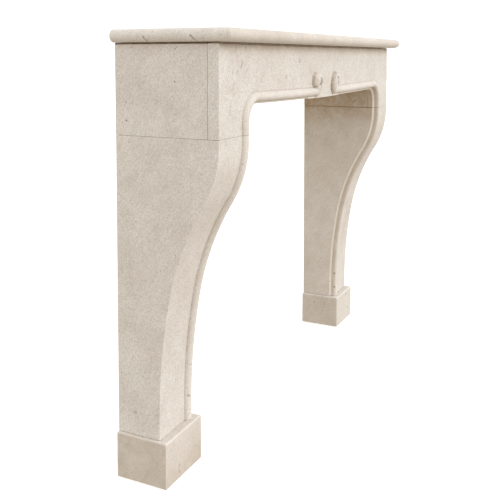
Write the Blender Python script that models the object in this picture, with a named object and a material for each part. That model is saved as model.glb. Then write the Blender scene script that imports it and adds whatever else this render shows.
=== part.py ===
"""A limestone fireplace mantel in the French country style, built from eight cut blocks.

Metres, +Z up. The front faces -Y, the wall is behind at +Y, and left is at -X.
The origin is on the floor, under the middle of the whole mantel.
"""
import math

import bmesh
import bpy
from mathutils import Vector

# Driving dimensions of the whole mantel
FRIEZE_WIDTH = 1.360
OVERALL_HEIGHT = 1.100
FRIEZE_DEPTH = 0.284

# The shelf
SHELF_THICKNESS = 0.032
SHELF_SIDE_OVERHANG = 0.022
SHELF_FRONT_OVERHANG = 0.042
NOSE_DEPTH = 0.0175

# The lintel slab above the opening, and how far its ends reach down beside the opening
LINTEL_HEIGHT = 0.151
LINTEL_THICKNESS = 0.030
LINTEL_DROP = 0.071
CORNER_RADIUS = 0.045
EDGE_BOW = 0.005

# The legs and their S-curved front: a straight foot, three arcs and a straight neck
LEG_WIDTH = 0.147
FOOT_SET_BACK = 0.164
FOOT_LENGTH = 0.046
NECK_LENGTH = 0.012
SWEEP_RADIUS = 1.540
SWEEP_ANGLE = math.radians(10.7)
KNEE_RADIUS = 0.690
SLOPE_ANGLE = math.radians(32.2)

# The plinths
PLINTH_HEIGHT = 0.113
PLINTH_SIDE_OVERHANG = 0.009
PLINTH_INNER_OVERHANG = 0.013
PLINTH_FRONT_OVERHANG = 0.0235
PLINTH_ARRIS = 0.004

# The moulding round the opening: a bold roll beside a narrow sunk fillet
ROLL_RADIUS = 0.013
ROLL_PROUD = 0.0115
FILLET_WIDTH = 0.006
FILLET_DEPTH = 0.0115

# The two scrolls in the middle of the lintel
SCROLL_RADIUS = 0.032
SCROLL_RISE = 0.043
SCROLL_SPACING = 0.162
SCROLL_PROUD = 0.018
KNOB_WIDTH = 0.042
KNOB_HEIGHT = 0.042
KNOB_OFFSET = 0.008
HEART_WIDTH = 0.027
HEART_HEIGHT = 0.036
HEART_OFFSET = -0.005
HEART_PROUD = 0.0135
BLUNTNESS = 2.7
LIMB_TIP_RADIUS = 0.0095
LIMB_SWEEP = math.radians(225)
GROOVE_SWEEP = math.radians(125)
EYE_OFFSET = -0.0105
EYE_RISE = 0.017
EYE_WIDTH = 0.006
EYE_HEIGHT = 0.025
EYE_DEPTH = 0.020

# How far the scroll's rounds are centred below the face, so that they grow out of the slab
SCROLL_SINK = 0.004

# How far the tools that shape the scroll start outside it, and by how much they miss a flat face
LIMB_LEAD = 0.006
GROOVE_LEAD = 0.004
GROOVE_CLEARANCE = 0.010
HAIR = 0.0002

# The open joint between two blocks
JOINT = 0.0003

# The tones of the stone, as linear red, green and blue
FRONT_TONE = (0.80, 0.74, 0.66)
SHELF_TONE = (0.78, 0.72, 0.64)
LEG_TONE = (0.76, 0.70, 0.62)
PLINTH_TONE = (0.72, 0.66, 0.58)
SIDE_TONE = (0.66, 0.60, 0.52)
STONE_ROUGHNESS = 0.7

# How finely round shapes are cut
ROLL_SEGMENTS = 10
CORNER_SEGMENTS = 10
EDGE_SEGMENTS = 8
CURVE_SEGMENTS = 10
NOSE_SEGMENTS = 12
ARRIS_SEGMENTS = 2
PANEL_SEGMENTS = 4
LIMB_SIDES = 16
LIMB_SEGMENTS = 12
GROOVE_SEGMENTS = 10
MOUND_SIDES = 20
MOUND_RINGS = 12
SHARP_ANGLE = math.radians(30)

# Places worked out from the sizes above
SHELF_DEPTH = FRIEZE_DEPTH + SHELF_FRONT_OVERHANG
BACK_Y = SHELF_DEPTH / 2
FACE_Y = BACK_Y - FRIEZE_DEPTH
OUTER_X = FRIEZE_WIDTH / 2
INNER_X = OUTER_X - LEG_WIDTH
SHELF_BOTTOM = OVERALL_HEIGHT - SHELF_THICKNESS
OPENING_HEIGHT = SHELF_BOTTOM - LINTEL_HEIGHT
JOINT_LEVEL = OPENING_HEIGHT - LINTEL_DROP
CURVE_START = PLINTH_HEIGHT + FOOT_LENGTH
CURVE_HEIGHT = JOINT_LEVEL - NECK_LENGTH - CURVE_START
SLAB_BACK_Y = FACE_Y + LINTEL_THICKNESS
FOOT_Y = FACE_Y + FOOT_SET_BACK
PLINTH_FRONT_Y = FOOT_Y - PLINTH_FRONT_OVERHANG
SCROLL_X = SCROLL_SPACING / 2
SCROLL_Z = OPENING_HEIGHT - EDGE_BOW + SCROLL_RADIUS


def clear_scene():
    for thing in list(bpy.data.objects):
        bpy.data.objects.remove(thing, do_unlink=True)


def stone(name, colour):
    """Honed limestone of one tone."""
    material = bpy.data.materials.new(name)
    material.use_nodes = True
    shader = material.node_tree.nodes["Principled BSDF"]
    shader.inputs["Base Color"].default_value = (*colour, 1.0)
    shader.inputs["Roughness"].default_value = STONE_ROUGHNESS
    shader.inputs["Metallic"].default_value = 0.0
    return material


def finish_mesh(name, bm, colour):
    """Closes a bmesh off as one named object with its own stone."""
    bmesh.ops.remove_doubles(bm, verts=bm.verts, dist=1e-6)
    bmesh.ops.recalc_face_normals(bm, faces=bm.faces)
    mesh = bpy.data.meshes.new(name)
    bm.to_mesh(mesh)
    bm.free()
    mesh.shade_smooth()
    mesh.set_sharp_from_angle(angle=SHARP_ANGLE)
    mesh.materials.append(stone(name + "_stone", colour))
    thing = bpy.data.objects.new(name, mesh)
    bpy.context.scene.collection.objects.link(thing)
    return thing


def boolean(target, tool, operation):
    """Joins a hidden tool to a block, or cuts it away."""
    tool.hide_render = True
    tool.display_type = "WIRE"
    modifier = target.modifiers.new(tool.name, "BOOLEAN")
    modifier.operation = operation
    modifier.object = tool
    modifier.solver = "EXACT"


def moulding_profile():
    """The moulding's section as (inwards from the opening, proud of the face).

    It runs from the flat face over the roll, down to the sunk fillet and out to the opening.
    """
    centre_in = FILLET_WIDTH + ROLL_RADIUS
    centre_proud = ROLL_PROUD - ROLL_RADIUS
    lift = math.asin(-centre_proud / ROLL_RADIUS)
    points = []
    for step in range(ROLL_SEGMENTS + 1):
        angle = lift + (math.pi - 2 * lift) * step / ROLL_SEGMENTS
        across = centre_in + ROLL_RADIUS * math.cos(angle)
        points.append((across, centre_proud + ROLL_RADIUS * math.sin(angle)))
    points[0] = (points[0][0], 0.0)
    points[-1] = (points[-1][0], 0.0)
    points.append((FILLET_WIDTH, centre_proud))
    points.append((FILLET_WIDTH, -FILLET_DEPTH))
    points.append((0.0, -FILLET_DEPTH))
    return points


def lower_edge(x):
    """Height of the lintel's lower edge, a shallow bow that is lowest in the middle."""
    reach = INNER_X - CORNER_RADIUS
    return OPENING_HEIGHT - EDGE_BOW * (1 - min(abs(x) / reach, 1.0) ** 2)


def opening_path():
    """Stations round the right half of the opening, from the joint to the scroll.

    Each is (point, direction into the stone), in X and Z.
    """
    stations = [(Vector((INNER_X, JOINT_LEVEL + JOINT)), Vector((1.0, 0.0)))]
    centre = Vector((INNER_X - CORNER_RADIUS, OPENING_HEIGHT - CORNER_RADIUS))
    for step in range(CORNER_SEGMENTS + 1):
        angle = math.pi / 2 * step / CORNER_SEGMENTS
        inward = Vector((math.cos(angle), math.sin(angle)))
        stations.append((centre + inward * CORNER_RADIUS, inward))
    reach = INNER_X - CORNER_RADIUS
    for step in range(1, EDGE_SEGMENTS + 1):
        x = reach + (SCROLL_X - reach) * step / EDGE_SEGMENTS
        stations.append((Vector((x, lower_edge(x))), Vector((0.0, 1.0))))
    return stations


def lintel_body():
    """The slab with its moulding, which stops square where each scroll covers its end."""
    bm = bmesh.new()
    profile = moulding_profile()
    stations = opening_path()
    top = SHELF_BOTTOM - JOINT
    bottom = JOINT_LEVEL + JOINT
    crossing = ROLL_SEGMENTS

    def corner(x, y, z):
        return bm.verts.new((x, y, z))

    halves = {}
    for side in (-1, 1):
        rings = []
        backs = []
        for point, inward in stations:
            ring = []
            for across, proud in profile:
                spot = point + inward * across
                ring.append(corner(side * spot.x, FACE_Y - proud, spot.y))
            rings.append(ring)
            backs.append(corner(side * point.x, SLAB_BACK_Y, point.y))
        for first, second in zip(rings, rings[1:]):
            for low in range(len(profile) - 1):
                bm.faces.new((first[low], first[low + 1], second[low + 1], second[low]))
        for index in range(len(rings) - 1):
            bm.faces.new((rings[index][-1], backs[index], backs[index + 1], rings[index + 1][-1]))
        outer = [corner(side * OUTER_X, y, z) for y, z in
                 ((FACE_Y, bottom), (SLAB_BACK_Y, bottom), (SLAB_BACK_Y, top), (FACE_Y, top))]
        bm.faces.new(outer)
        bm.faces.new([outer[0]] + rings[0] + [backs[0], outer[1]])
        end = rings[-1]
        panel_corner = corner(side * SCROLL_X, FACE_Y, lower_edge(SCROLL_X))
        bm.faces.new(end[:crossing + 1])
        bm.faces.new(end[crossing:] + [panel_corner])
        halves[side] = {"rings": rings, "backs": backs, "outer": outer, "panel": panel_corner}

    left, right = halves[-1], halves[1]
    fronts = [left["panel"]]
    backs = [left["backs"][-1]]
    for step in range(1, PANEL_SEGMENTS):
        x = -SCROLL_X + 2 * SCROLL_X * step / PANEL_SEGMENTS
        fronts.append(corner(x, FACE_Y, lower_edge(x)))
        backs.append(corner(x, SLAB_BACK_Y, lower_edge(x)))
    fronts.append(right["panel"])
    backs.append(right["backs"][-1])
    for index in range(PANEL_SEGMENTS):
        face = [fronts[index], fronts[index + 1]]
        if index == PANEL_SEGMENTS - 1:
            face.append(right["rings"][-1][-1])
        face += [backs[index + 1], backs[index]]
        if index == 0:
            face.append(left["rings"][-1][-1])
        bm.faces.new(face)

    front = [left["outer"][0], left["outer"][3], right["outer"][3], right["outer"][0]]
    front += [ring[0] for ring in right["rings"]] + [right["rings"][-1][crossing]]
    front += fronts[::-1]
    front += [left["rings"][-1][crossing]] + [ring[0] for ring in left["rings"][::-1]]
    bm.faces.new(front)
    back = [left["outer"][1], left["outer"][2], right["outer"][2], right["outer"][1]]
    back += right["backs"] + backs[-2:0:-1] + left["backs"][::-1]
    bm.faces.new(back)
    bm.faces.new((left["outer"][2], left["outer"][3], right["outer"][3], right["outer"][2]))
    return finish_mesh("lintel", bm, FRONT_TONE)


def swept_solid(name, stations, section):
    """A closed solid through stations, each (x, z, direction x, direction z, width, height)."""
    bm = bmesh.new()
    rings = []
    for station in stations:
        rings.append([bm.verts.new(spot) for spot in section(*station)])
    count = len(rings[0])
    for first, second in zip(rings, rings[1:]):
        for index in range(count):
            after = (index + 1) % count
            bm.faces.new((first[index], first[after], second[after], second[index]))
    bm.faces.new(rings[0])
    bm.faces.new(rings[-1])
    bmesh.ops.triangulate(bm, faces=bm.faces)
    return finish_mesh(name, bm, FRONT_TONE)


def limb_section(x, z, along_x, along_z, radius, proud):
    """A round limb, sunk a little into the slab so that it grows out of it."""
    points = []
    for index in range(LIMB_SIDES):
        angle = 2 * math.pi * index / LIMB_SIDES
        across = radius * math.cos(angle)
        lift = (proud + SCROLL_SINK) * math.sin(angle) - SCROLL_SINK
        points.append((x - along_z * across, FACE_Y - lift, z + along_x * across))
    return points


def limb_stations(side):
    """The roll leaves the moulding, turns up beside the middle and curls over outwards."""
    start_drop = SCROLL_RADIUS - FILLET_WIDTH - ROLL_RADIUS
    start_x = side * (SCROLL_X + LIMB_LEAD)
    stations = [(start_x, SCROLL_Z - start_drop, -side, 0.0, ROLL_RADIUS, ROLL_PROUD)]
    for step in range(LIMB_SEGMENTS + 1):
        turned = LIMB_SWEEP * step / LIMB_SEGMENTS
        angle = turned - math.pi / 2
        eased = min(1.0, turned / math.pi)
        reach = start_drop + (SCROLL_RADIUS - LIMB_TIP_RADIUS - start_drop) * eased
        rise = start_drop + (SCROLL_RISE - LIMB_TIP_RADIUS - start_drop) * eased
        radius = ROLL_RADIUS + (LIMB_TIP_RADIUS - ROLL_RADIUS) * eased
        proud = ROLL_PROUD + (SCROLL_PROUD - ROLL_PROUD) * min(1.0, 2 * eased)
        x = SCROLL_X - reach * math.cos(angle)
        z = SCROLL_Z + rise * math.sin(angle)
        along = Vector((reach * math.sin(angle), rise * math.cos(angle))).normalized()
        stations.append((side * x, z, side * along.x, along.y, radius, proud))
    return stations


def mound(name, x, z, width, height, proud):
    """A blunt round that grows out of the slab."""
    bm = bmesh.new()
    bmesh.ops.create_uvsphere(bm, u_segments=MOUND_SIDES, v_segments=MOUND_RINGS, radius=1.0)
    for vert in bm.verts:
        across, up, out = (math.copysign(abs(value) ** (2 / BLUNTNESS), value) for value in vert.co)
        vert.co = Vector((x + across * width / 2, FACE_Y + SCROLL_SINK - out * (proud + SCROLL_SINK),
                          z + up * height / 2))
    bmesh.ops.triangulate(bm, faces=bm.faces)
    return finish_mesh(name, bm, FRONT_TONE)


def knob(name, side):
    """The round end of the limb, which droops on the side away from the middle."""
    return mound(name, side * (SCROLL_X + KNOB_OFFSET), SCROLL_Z + SCROLL_RISE - KNOB_HEIGHT / 2,
                 KNOB_WIDTH, KNOB_HEIGHT, SCROLL_PROUD)


def heart(name, side):
    """The lower round that fills the bend between the roll, the limb and the knob."""
    return mound(name, side * (SCROLL_X + HEART_OFFSET), SCROLL_Z, HEART_WIDTH, HEART_HEIGHT, HEART_PROUD)


def groove_section(x, z, along_x, along_z, width, depth):
    """A flat-bottomed groove, open to the front."""
    half = width / 2
    corners = ((-half, -depth), (half, -depth), (half, GROOVE_CLEARANCE), (-half, GROOVE_CLEARANCE))
    return [(x - along_z * across, FACE_Y - lift, z + along_x * across) for across, lift in corners]


def groove_stations(side):
    """The fillet turns up round the scroll, and its groove runs out beside it."""
    middle = SCROLL_RADIUS + HAIR - FILLET_WIDTH / 2
    start_depth = FILLET_DEPTH - HAIR
    start_x = side * (SCROLL_X + GROOVE_LEAD)
    stations = [(start_x, SCROLL_Z - middle, -side, 0.0, FILLET_WIDTH, start_depth)]
    for step in range(GROOVE_SEGMENTS + 1):
        share = step / GROOVE_SEGMENTS
        angle = GROOVE_SWEEP * share - math.pi / 2
        depth = start_depth * (1 - share) ** 1.5 + 2 * HAIR
        width = FILLET_WIDTH * (1 - 0.6 * share)
        x = SCROLL_X - middle * math.cos(angle)
        z = SCROLL_Z + middle * math.sin(angle)
        stations.append((side * x, z, side * math.sin(angle), math.cos(angle), width, depth))
    return stations


def eye(name, side):
    """The small hollow between the knob and the limb."""
    bm = bmesh.new()
    bmesh.ops.create_icosphere(bm, subdivisions=2, radius=0.5)
    centre_x = SCROLL_X + EYE_OFFSET
    for vert in bm.verts:
        vert.co = Vector((side * centre_x + vert.co.x * EYE_WIDTH,
                          FACE_Y - SCROLL_PROUD * 0.8 + vert.co.y * EYE_DEPTH,
                          SCROLL_Z + EYE_RISE + vert.co.z * EYE_HEIGHT))
    return finish_mesh(name, bm, FRONT_TONE)


def lintel():
    body = lintel_body()
    for side, word in ((-1, "left"), (1, "right")):
        groove = swept_solid("groove_" + word, groove_stations(side), groove_section)
        boolean(body, groove, "DIFFERENCE")
        limb = swept_solid("limb_" + word, limb_stations(side), limb_section)
        boolean(body, limb, "UNION")
        boolean(body, heart("heart_" + word, side), "UNION")
        boolean(body, knob("knob_" + word, side), "UNION")
        boolean(body, eye("eye_" + word, side), "DIFFERENCE")
    return body


def box(name, low, high, colour, arris=0.0):
    """A square block; with an arris, its top and its front corners are eased."""
    bm = bmesh.new()
    bmesh.ops.create_cube(bm, size=1.0)
    for vert in bm.verts:
        vert.co = Vector([low[k] + (vert.co[k] + 0.5) * (high[k] - low[k]) for k in range(3)])
    if arris:
        worn = []
        for edge in bm.edges:
            middle = (edge.verts[0].co + edge.verts[1].co) / 2
            at_top = abs(middle.z - high[2]) < 1e-6
            at_back = abs(middle.y - high[1]) < 1e-6
            at_foot = abs(middle.z - low[2]) < 1e-6
            if not at_back and not at_foot and (at_top or abs(middle.y - low[1]) < 1e-6):
                worn.append(edge)
        bmesh.ops.bevel(bm, geom=worn, offset=arris, segments=ARRIS_SEGMENTS, profile=0.5, affect="EDGES")
    return finish_mesh(name, bm, colour)


def returns():
    for side, word in ((-1, "left"), (1, "right")):
        low_x, high_x = sorted((side * INNER_X, side * OUTER_X))
        low = (low_x, SLAB_BACK_Y + JOINT, JOINT_LEVEL + JOINT)
        high = (high_x, BACK_Y, SHELF_BOTTOM - JOINT)
        box("return_" + word, low, high, SIDE_TONE)


def plinths():
    for side, word in ((-1, "left"), (1, "right")):
        inner = INNER_X - PLINTH_INNER_OVERHANG
        outer = OUTER_X + PLINTH_SIDE_OVERHANG
        low_x, high_x = sorted((side * inner, side * outer))
        low = (low_x, PLINTH_FRONT_Y, 0.0)
        high = (high_x, BACK_Y, PLINTH_HEIGHT)
        box("plinth_" + word, low, high, PLINTH_TONE, PLINTH_ARRIS)


def leg_curve():
    """The S-curve of the leg's front, as (y, z, lean from upright), foot to joint.

    The arcs are drawn at full size and then stretched upright to the leg's own height.
    """
    drop_sweep = SWEEP_RADIUS * (1 - math.cos(SWEEP_ANGLE))
    drop_knee = KNEE_RADIUS * (math.cos(SWEEP_ANGLE) - math.cos(SLOPE_ANGLE))
    shoulder_radius = (FOOT_SET_BACK - drop_sweep - drop_knee) / (1 - math.cos(SLOPE_ANGLE))
    arcs = ((SWEEP_RADIUS, 0.0, SWEEP_ANGLE, 1), (KNEE_RADIUS, SWEEP_ANGLE, SLOPE_ANGLE, 1),
            (shoulder_radius, SLOPE_ANGLE, 0.0, -1))
    y, rise = FOOT_Y, 0.0
    drawn = [(y, rise, 0.0)]
    for radius, start, stop, bend in arcs:
        from_y, from_rise = y, rise
        for step in range(1, CURVE_SEGMENTS + 1):
            lean = start + (stop - start) * step / CURVE_SEGMENTS
            y = from_y - bend * radius * (math.cos(start) - math.cos(lean))
            rise = from_rise + bend * radius * (math.sin(lean) - math.sin(start))
            drawn.append((y, rise, lean))
    stretch = CURVE_HEIGHT / rise
    stations = [(FOOT_Y, PLINTH_HEIGHT + JOINT, 0.0)]
    for y, rise, lean in drawn:
        stations.append((y, CURVE_START + rise * stretch, math.atan(math.tan(lean) / stretch)))
    stations.append((FACE_Y, JOINT_LEVEL, 0.0))
    return stations


def leg(side, word):
    """One leg: the moulding's section carried up the curve, with flat sides and back."""
    bm = bmesh.new()
    profile = [(LEG_WIDTH, 0.0)] + moulding_profile()
    rings = []
    for y, z, lean in leg_curve():
        ring = [bm.verts.new((side * OUTER_X, BACK_Y, z))]
        for across, proud in profile:
            ring.append(bm.verts.new((side * (INNER_X + across), y - proud * math.cos(lean),
                                      z - proud * math.sin(lean))))
        ring.append(bm.verts.new((side * INNER_X, BACK_Y, z)))
        rings.append(ring)
    count = len(rings[0])
    for first, second in zip(rings, rings[1:]):
        for index in range(count):
            after = (index + 1) % count
            bm.faces.new((first[index], first[after], second[after], second[index]))
    bm.faces.new(rings[0])
    bm.faces.new(rings[-1])
    bmesh.ops.triangulate(bm, faces=bm.faces, ngon_method="EAR_CLIP")
    return finish_mesh("leg_" + word, bm, LEG_TONE)


def legs():
    for side, word in ((-1, "left"), (1, "right")):
        leg(side, word)


def nose_section():
    """The shelf's edge as (inset from the nose, height above the underside)."""
    half_height = SHELF_THICKNESS / 2
    points = []
    for step in range(NOSE_SEGMENTS + 1):
        angle = math.pi * (step / NOSE_SEGMENTS - 0.5)
        points.append((NOSE_DEPTH * (1 - math.cos(angle)), half_height * (1 + math.sin(angle))))
    return points


def shelf():
    """One slab with its nose carried round the front and both ends, mitred at the corners."""
    bm = bmesh.new()
    reach_x = OUTER_X + SHELF_SIDE_OVERHANG
    front_y = FACE_Y - SHELF_FRONT_OVERHANG
    rings = []
    for side, at_back in ((-1, True), (-1, False), (1, False), (1, True)):
        ring = []
        for inset, height in nose_section():
            y = BACK_Y if at_back else front_y + inset
            ring.append(bm.verts.new((side * (reach_x - inset), y, SHELF_BOTTOM + height)))
        rings.append(ring)
    for first, second in zip(rings, rings[1:]):
        for low in range(len(first) - 1):
            bm.faces.new((first[low], first[low + 1], second[low + 1], second[low]))
    bm.faces.new([ring[0] for ring in rings])
    bm.faces.new([ring[-1] for ring in rings])
    bm.faces.new(rings[0] + rings[-1][::-1])
    bmesh.ops.triangulate(bm, faces=bm.faces, ngon_method="EAR_CLIP")
    return finish_mesh("shelf", bm, SHELF_TONE)


def main():
    clear_scene()
    plinths()
    legs()
    returns()
    lintel()
    shelf()


main()
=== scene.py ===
"""The looks of the limestone fireplace mantel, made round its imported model.

Metres, +Z up. The front faces -Y, the wall is behind at +Y, and left is at -X.
Each block is a fine mesh that keeps its solid's form and adds what a mason's hand and
a few years leave on it: eased edges, a slightly uneven face, chips, nicks and pits.
"""
import math

import bmesh
import bpy
import numpy as np
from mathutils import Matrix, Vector, noise


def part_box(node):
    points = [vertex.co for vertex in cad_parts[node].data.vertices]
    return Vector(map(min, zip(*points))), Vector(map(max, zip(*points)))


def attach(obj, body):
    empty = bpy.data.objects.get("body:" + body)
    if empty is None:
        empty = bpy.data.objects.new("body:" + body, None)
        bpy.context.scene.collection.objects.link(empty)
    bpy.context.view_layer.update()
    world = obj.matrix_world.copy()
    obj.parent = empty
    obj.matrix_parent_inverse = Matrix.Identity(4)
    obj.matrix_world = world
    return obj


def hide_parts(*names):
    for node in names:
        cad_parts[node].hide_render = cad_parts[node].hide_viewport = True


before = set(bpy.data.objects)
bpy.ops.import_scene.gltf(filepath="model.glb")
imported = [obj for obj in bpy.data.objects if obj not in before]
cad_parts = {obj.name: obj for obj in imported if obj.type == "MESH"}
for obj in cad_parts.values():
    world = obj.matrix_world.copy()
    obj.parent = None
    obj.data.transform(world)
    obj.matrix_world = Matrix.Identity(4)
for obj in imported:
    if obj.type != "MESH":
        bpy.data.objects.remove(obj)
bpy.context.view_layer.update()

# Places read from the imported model
SHELF_LOW, SHELF_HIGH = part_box("shelf")
RETURN_LOW, RETURN_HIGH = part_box("return_right")
LEG_LOW, LEG_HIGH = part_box("leg_right")
PLINTH_LOW, PLINTH_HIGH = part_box("plinth_right")
JOINT = 0.0003
LINTEL_THICKNESS = 0.030
OUTER_X = RETURN_HIGH.x
INNER_X = RETURN_LOW.x
LEG_WIDTH = OUTER_X - INNER_X
BACK_Y = SHELF_HIGH.y
SLAB_BACK_Y = RETURN_LOW.y - JOINT
FACE_Y = SLAB_BACK_Y - LINTEL_THICKNESS
SHELF_BOTTOM = SHELF_LOW.z
JOINT_LEVEL = LEG_HIGH.z

# The opening and its moulding
OPENING_HEIGHT = 0.917
CORNER_RADIUS = 0.045
EDGE_BOW = 0.005
ROLL_RADIUS = 0.013
ROLL_PROUD = 0.0115
FILLET_WIDTH = 0.006
FILLET_DEPTH = 0.0115
FILLET_WALL = 0.0005
CREASE_WIDTH = 0.0018

# The scrolls
SCROLL_RADIUS = 0.032
SCROLL_X = 0.081
SCROLL_Z = OPENING_HEIGHT - EDGE_BOW + SCROLL_RADIUS
SCROLL_RISE = 0.043
SCROLL_PROUD = 0.018
SCROLL_SINK = 0.004
KNOB_WIDTH = 0.042
KNOB_HEIGHT = 0.042
KNOB_OFFSET = 0.008
HEART_WIDTH = 0.027
HEART_HEIGHT = 0.036
HEART_OFFSET = -0.005
HEART_PROUD = 0.0135
BLUNTNESS = 2.3
LIMB_TIP_RADIUS = 0.0095
LIMB_SWEEP = math.radians(225)
LIMB_RISE = 1.4
GROOVE_SWEEP = math.radians(125)
GROOVE_TAPER = 0.6
GROOVE_FADE = 1.5
EYE_OFFSET = -0.0105
EYE_RISE = 0.017
EYE_WIDTH = 0.0075
EYE_HEIGHT = 0.027
EYE_FLOOR = 0.005
KNOB_TAPER = 0.25
SCROLL_BLEND = 0.0015
SCROLL_ZONE = 0.130
SCROLL_TOP = 0.086

# The S-curve of the legs
FOOT_SET_BACK = 0.164
FOOT_LENGTH = 0.046
NECK_LENGTH = 0.012
SWEEP_RADIUS = 1.540
SWEEP_ANGLE = math.radians(10.7)
KNEE_RADIUS = 0.690
SLOPE_ANGLE = math.radians(32.2)
FOOT_Y = FACE_Y + FOOT_SET_BACK

# The shelf's nose
NOSE_DEPTH = 0.0175

# How far apart the points of the meshes are, and how fast the gaps grow away from an edge
COARSE = 0.005
FINE = 0.001
PLINTH_FINE = 0.0015
SCROLL_STEP = 0.0014
STRAIGHT_STEP = 0.0075
GROWTH = 0.30

# Where the points lie across the flat of the fillet and down its wall
FILLET_STEPS = (0.0, 0.0007, 0.0015, 0.0025, 0.0035, 0.0045, 0.0052)
FILLET_WALL_SHARES = (1.0, 0.66, 0.33)

# Steps as shares of a block's own length or depth, coarse and fine
LEG_DEPTH_STEPS = (0.03, 0.005)
LEG_TIGHT_DEPTH = 0.3
LINTEL_REST_STEPS = (0.06, 0.012)
LINTEL_DEPTH_STEPS = (0.12, 0.03)
SHELF_LENGTH_STEPS = (0.012, 0.0015)
SHELF_DEPTH_STEPS = (0.012, 0.0032)

# Into how many steps the round forms are cut
ARC_STEPS = 40
ROLL_STEPS = 24
CORNER_STEPS = 28
LIMB_STEPS = 90
NOSE_STEPS = 40

# Faces of a block by number: low and high along its first, second and third grid direction
LOW_A, HIGH_A, LOW_B, HIGH_B, LOW_C, HIGH_C = range(6)

# The open joint under the shelf: its height and how far it is sunk at the ends
GAP_HEIGHT = 0.0042
GAP_DEPTH = 0.0070

# Where the slab's points lie by that joint, in heights of the joint below the slab's top
GAP_LEVELS = (1.4, 0.95, 0.4, 0.0)
ABOVE_CORNER_LEVEL = 2.2

# How soft each kind of edge is, from 0, crisp, to 1, well worn, and how often it is eased
JOINT_EDGE = 0.07
CRISP_EDGE = 0.30
EASED_EDGE = 0.60
WORN_EDGE = 1.0
EASING_FADE = (1.0, 0.85, 0.6, 0.3)
EASING_ROUNDS = 10
LINTEL_ROUNDS = 8
PLINTH_ROUNDS = 14
WEAR_SPREAD = 0.45
WEAR_SIZE = 0.035
LEAST_WEAR = 0.3
MOST_WEAR = 1.5

# The uneven faces: how deep the broad and the small dips are, and how wide
UNEVENNESS = 0.0004
SMALL_UNEVENNESS = 0.35 * UNEVENNESS
BROAD_DIP_SIZE = 0.11
SMALL_DIP_SIZE = 0.03

# Chips and pits: how ragged their rims are, the size of the lumps there and how far they reach, both
# as shares of the radius, and the depth at which one looks fully dark
RAGGEDNESS = 0.35
RAGGED_SIZE = 0.7
MARK_REACH = 1.6
DARK_DEPTH = 0.0016

# How far a point stands out from its neighbours where an edge or a hollow counts in full
FULL_BULGE = 0.0001

# Where smoke stains and painted shade brown the opening's sides, by height, and how much more towards the
# back on top
SMOKE_AND_SHADE_PAST_EDGE = 0.02
SMOKE_AND_SHADE_BEHIND_FACE = 0.012
SMOKE_AND_SHADE_LEVELS = (0.0, 0.12, 0.55, 0.76, 0.85, SHELF_BOTTOM)
SMOKE_AND_SHADE_SHARES = (0.17, 0.14, 0.13, 0.24, 0.55, 1.15)
SMOKE_AND_SHADE_AT_BACK = 0.25
SMOKE_AND_SHADE_RISE_START = 0.70
SMOKE_AND_SHADE_RISE = 0.15

# How brown dust, dirt and painted shade make the stone, and how far they reach
DUST_AND_SHADE_REACH = 0.034
DUST_AND_SHADE_ON_FRONT = 0.62
DUST_AND_SHADE_ON_SIDE = 0.10
GAP_ON_FRONT = 0.70
GAP_ON_SIDE = 0.90
NOSE_SHADE = 0.16
PLINTH_SIDE_DARKENING = 0.26
SPLASH_DIRT = 0.42
JOINT_REACH = 0.0012
JOINT_OUTSIDE = 0.45
JOINT_INSIDE = 1.1
BED_REACH = 0.0016
BED_DIRT = 1.1
ROLL_FLANK_SHADE = 0.16
CREASE_SHADE = 0.20
MOST_DIRT_AND_SHADE = 1.2

# The camera that took the photograph, worked out from the object's straight edges
PHOTO_SIZE = 500
PHOTO_FOCAL = 748.493
PHOTO_HORIZON_ROW = 102.01
CAMERA_PLACE = (-2.1526, -0.9195, 1.0337)
CAMERA_PITCH = math.radians(-3.442)
CAMERA_YAW = math.radians(-63.903)
SENSOR = 36.0


def spaced(start, stop, coarse, fine=FINE, near=()):
    """Values from start to stop, close together at both ends and by each place in near."""
    tight = [start, stop] + [place for place in near if start < place < stop]
    values = [start]
    while values[-1] < stop:
        gap = min(abs(values[-1] - place) for place in tight)
        values.append(values[-1] + min(coarse, fine + GROWTH * max(0.0, gap - 3 * fine)))
    scale = (stop - start) / (values[-1] - start)
    return np.array([start + (value - start) * scale for value in values])


def shell(nx, ny, nz):
    """The skin of a block of nx by ny by nz cells, as its grid points and its quads."""
    number = {}
    keys = []

    def corner(key):
        if key not in number:
            number[key] = len(keys)
            keys.append(key)
        return number[key]

    quads = []
    for axis, (u_cells, v_cells, depth) in enumerate(((ny, nz, nx), (nx, nz, ny), (nx, ny, nz))):
        for level in (0, depth):
            for u in range(u_cells):
                for v in range(v_cells):
                    quad = []
                    for du, dv in ((0, 0), (1, 0), (1, 1), (0, 1)):
                        key = [u + du, v + dv]
                        key.insert(axis, level)
                        quad.append(corner(tuple(key)))
                    quads.append(quad)
    return np.array(keys), quads


def edge_weights(keys, edges, counts, softness):
    """How soft each point is: its own edge's softness, falling off over the next few points."""
    weights = np.zeros(len(keys))
    sides = [(keys[:, axis] == level) for axis in range(3) for level in (0, counts[axis])]
    for (first, second), value in softness.items():
        on_edge = sides[first] & sides[second]
        weights[on_edge] = np.maximum(weights[on_edge], value)
    for fade in EASING_FADE:
        spread = weights.copy()
        np.maximum.at(spread, edges[:, 0], weights[edges[:, 1]] * fade)
        np.maximum.at(spread, edges[:, 1], weights[edges[:, 0]] * fade)
        weights = spread
    return weights


def neighbour_mean(values, edges, number):
    """The mean of the values at each point's neighbours."""
    total = np.zeros_like(values)
    count = np.bincount(edges.ravel(), minlength=number).astype(float)
    for a, b in ((0, 1), (1, 0)):
        if values.ndim == 1:
            total += np.bincount(edges[:, a], weights=values[edges[:, b]], minlength=number)
        else:
            for axis in range(values.shape[1]):
                total[:, axis] += np.bincount(edges[:, a], weights=values[edges[:, b], axis],
                                              minlength=number)
    return total / (count if values.ndim == 1 else count[:, None])


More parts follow.
